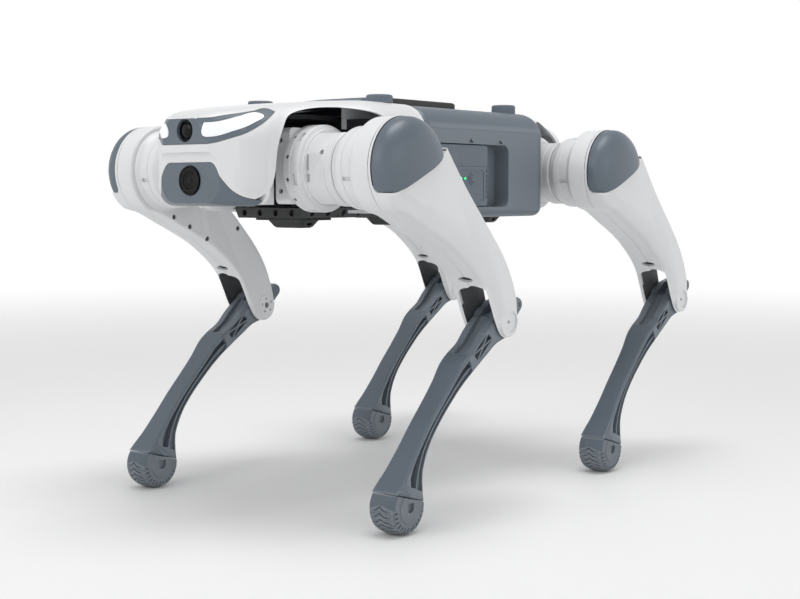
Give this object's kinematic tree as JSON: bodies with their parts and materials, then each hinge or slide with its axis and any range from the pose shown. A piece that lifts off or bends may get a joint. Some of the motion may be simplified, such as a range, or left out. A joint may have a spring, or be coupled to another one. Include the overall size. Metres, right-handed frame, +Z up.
{
  "type": "quadruped robot",
  "caption": "Standing quadruped robot with a shelled trunk, side battery, head with cameras and light windows, and legs with roll, pitch and rod-driven knee joints.",
  "frame": {"origin": "on the floor under the middle of the overall length and width, robot standing", "axes": "+X forward towards the head, +Y to the robot's left, +Z up"},
  "size_m": [0.6248, 0.37, 0.388],
  "materials": {
    "white_shell": "satin off-white moulded shell",
    "blue_grey_shell": "fine satin blue-grey moulded plastic",
    "black_plastic": "matt black glass-filled plastic",
    "bumper_grey": "soft grey rubber",
    "foot_rubber": "grey rubber tread",
    "lens_black": "polished black camera window",
    "light_window": "milky white light window",
    "motor_metal": "machined and blasted aluminium"
  },
  "bodies": {
    "trunk": {"chassis_frame": "black_plastic", "belly_tray": "black_plastic", "front_rest_pad": "black_plastic", "middle_rest_pad": "black_plastic", "rear_rest_pad": "black_plastic", "front_shell": "white_shell", "face_panel": "blue_grey_shell", "chin_panel": "blue_grey_shell", "upper_camera_lens": "lens_black", "lower_camera_lens": "lens_black", "headlight_left": "light_window", "headlight_right": "light_window", "mid_housing": "blue_grey_shell", "top_plate": "black_plastic", "rear_shell": "white_shell", "main_computer": "black_plastic", "front_left_top_bumper": "bumper_grey", "front_left_roll_motor": "motor_metal", "front_right_top_bumper": "bumper_grey", "front_right_roll_motor": "motor_metal", "rear_left_top_bumper": "bumper_grey", "rear_left_roll_motor": "motor_metal", "rear_right_top_bumper": "bumper_grey", "rear_right_roll_motor": "motor_metal"},
    "battery": {"battery_pack": "blue_grey_shell"},
    "button": {"power_button": "blue_grey_shell"},
    "front_left_hip": {"front_left_hip_link": "white_shell"},
    "front_left_thigh": {"front_left_thigh_frame": "white_shell", "front_left_thigh_cover": "white_shell", "front_left_thigh_cap": "blue_grey_shell"},
    "front_left_crank": {"front_left_knee_crank": "motor_metal"},
    "front_left_rod": {"front_left_push_rod": "motor_metal"},
    "front_left_shank": {"front_left_shank": "blue_grey_shell", "front_left_foot": "foot_rubber"},
    "front_right_hip": {"front_right_hip_link": "white_shell"},
    "front_right_thigh": {"front_right_thigh_frame": "white_shell", "front_right_thigh_cover": "white_shell", "front_right_thigh_cap": "blue_grey_shell"},
    "front_right_crank": {"front_right_knee_crank": "motor_metal"},
    "front_right_rod": {"front_right_push_rod": "motor_metal"},
    "front_right_shank": {"front_right_shank": "blue_grey_shell", "front_right_foot": "foot_rubber"},
    "rear_left_hip": {"rear_left_hip_link": "white_shell"},
    "rear_left_thigh": {"rear_left_thigh_frame": "white_shell", "rear_left_thigh_cover": "white_shell", "rear_left_thigh_cap": "blue_grey_shell"},
    "rear_left_crank": {"rear_left_knee_crank": "motor_metal"},
    "rear_left_rod": {"rear_left_push_rod": "motor_metal"},
    "rear_left_shank": {"rear_left_shank": "blue_grey_shell", "rear_left_foot": "foot_rubber"},
    "rear_right_hip": {"rear_right_hip_link": "white_shell"},
    "rear_right_thigh": {"rear_right_thigh_frame": "white_shell", "rear_right_thigh_cover": "white_shell", "rear_right_thigh_cap": "blue_grey_shell"},
    "rear_right_crank": {"rear_right_knee_crank": "motor_metal"},
    "rear_right_rod": {"rear_right_push_rod": "motor_metal"},
    "rear_right_shank": {"rear_right_shank": "blue_grey_shell", "rear_right_foot": "foot_rubber"}
  },
  "joints": [
    {"name": "battery_slide", "type": "slide", "parent": "trunk", "child": "battery", "axis": [0, -1, 0], "range_m": [-0.19, 0]},
    {"name": "power_button_press", "type": "slide", "parent": "battery", "child": "button", "axis": [0, -1, 0], "range_m": [0, 0.0015], "stiffness_N_per_m": 700},
    {"name": "front_left_hip_roll", "type": "hinge", "parent": "trunk", "child": "front_left_hip", "pos_m": [0.21094, 0.062, 0.3165], "axis": [1, 0, 0], "range_deg": [-20, 30]},
    {"name": "front_left_hip_pitch", "type": "hinge", "parent": "front_left_hip", "child": "front_left_thigh", "pos_m": [0.21094, 0.107, 0.3165], "axis": [0, 1, 0], "range_deg": [-105, 80]},
    {"name": "front_left_knee", "type": "hinge", "parent": "front_left_thigh", "child": "front_left_shank", "pos_m": [0.06952, 0.157, 0.17508], "axis": [0, -1, 0], "range_deg": [-36, 55]},
    {"name": "front_left_crank_turn", "type": "hinge", "parent": "front_left_thigh", "child": "front_left_crank", "pos_m": [0.21094, 0.147, 0.3165], "axis": [0, -1, 0], "range_deg": [-36, 55]},
    {"name": "front_left_rod_swing", "type": "hinge", "parent": "front_left_crank", "child": "front_left_rod", "pos_m": [0.18812, 0.155, 0.33093], "axis": [0, -1, 0], "range_deg": [-55, 36]},
    {"name": "front_right_hip_roll", "type": "hinge", "parent": "trunk", "child": "front_right_hip", "pos_m": [0.21094, -0.062, 0.3165], "axis": [-1, 0, 0], "range_deg": [-20, 30]},
    {"name": "front_right_hip_pitch", "type": "hinge", "parent": "front_right_hip", "child": "front_right_thigh", "pos_m": [0.21094, -0.107, 0.3165], "axis": [0, 1, 0], "range_deg": [-105, 80]},
    {"name": "front_right_knee", "type": "hinge", "parent": "front_right_thigh", "child": "front_right_shank", "pos_m": [0.06952, -0.157, 0.17508], "axis": [0, -1, 0], "range_deg": [-36, 55]},
    {"name": "front_right_crank_turn", "type": "hinge", "parent": "front_right_thigh", "child": "front_right_crank", "pos_m": [0.21094, -0.147, 0.3165], "axis": [0, -1, 0], "range_deg": [-36, 55]},
    {"name": "front_right_rod_swing", "type": "hinge", "parent": "front_right_crank", "child": "front_right_rod", "pos_m": [0.18812, -0.155, 0.33093], "axis": [0, -1, 0], "range_deg": [-55, 36]},
    {"name": "rear_left_hip_roll", "type": "hinge", "parent": "trunk", "child": "rear_left_hip", "pos_m": [-0.13806, 0.062, 0.3165], "axis": [1, 0, 0], "range_deg": [-20, 30]},
    {"name": "rear_left_hip_pitch", "type": "hinge", "parent": "rear_left_hip", "child": "rear_left_thigh", "pos_m": [-0.13806, 0.107, 0.3165], "axis": [0, 1, 0], "range_deg": [-40, 120]},
    {"name": "rear_left_knee", "type": "hinge", "parent": "rear_left_thigh", "child": "rear_left_shank", "pos_m": [-0.27948, 0.157, 0.17508], "axis": [0, -1, 0], "range_deg": [-36, 55]},
    {"name": "rear_left_crank_turn", "type": "hinge", "parent": "rear_left_thigh", "child": "rear_left_crank", "pos_m": [-0.13806, 0.147, 0.3165], "axis": [0, -1, 0], "range_deg": [-36, 55]},
    {"name": "rear_left_rod_swing", "type": "hinge", "parent": "rear_left_crank", "child": "rear_left_rod", "pos_m": [-0.16088, 0.155, 0.33093], "axis": [0, -1, 0], "range_deg": [-55, 36]},
    {"name": "rear_right_hip_roll", "type": "hinge", "parent": "trunk", "child": "rear_right_hip", "pos_m": [-0.13806, -0.062, 0.3165], "axis": [-1, 0, 0], "range_deg": [-20, 30]},
    {"name": "rear_right_hip_pitch", "type": "hinge", "parent": "rear_right_hip", "child": "rear_right_thigh", "pos_m": [-0.13806, -0.107, 0.3165], "axis": [0, 1, 0], "range_deg": [-40, 120]},
    {"name": "rear_right_knee", "type": "hinge", "parent": "rear_right_thigh", "child": "rear_right_shank", "pos_m": [-0.27948, -0.157, 0.17508], "axis": [0, -1, 0], "range_deg": [-36, 55]},
    {"name": "rear_right_crank_turn", "type": "hinge", "parent": "rear_right_thigh", "child": "rear_right_crank", "pos_m": [-0.13806, -0.147, 0.3165], "axis": [0, -1, 0], "range_deg": [-36, 55]},
    {"name": "rear_right_rod_swing", "type": "hinge", "parent": "rear_right_crank", "child": "rear_right_rod", "pos_m": [-0.16088, -0.155, 0.33093], "axis": [0, -1, 0], "range_deg": [-55, 36]}
  ],
  "couplings": [
    {"joint": "front_left_crank_turn", "follows": "front_left_knee", "ratio": 1},
    {"joint": "front_left_rod_swing", "follows": "front_left_knee", "ratio": -1},
    {"joint": "front_right_crank_turn", "follows": "front_right_knee", "ratio": 1},
    {"joint": "front_right_rod_swing", "follows": "front_right_knee", "ratio": -1},
    {"joint": "rear_left_crank_turn", "follows": "rear_left_knee", "ratio": 1},
    {"joint": "rear_left_rod_swing", "follows": "rear_left_knee", "ratio": -1},
    {"joint": "rear_right_crank_turn", "follows": "rear_right_knee", "ratio": 1},
    {"joint": "rear_right_rod_swing", "follows": "rear_right_knee", "ratio": -1}
  ]
}
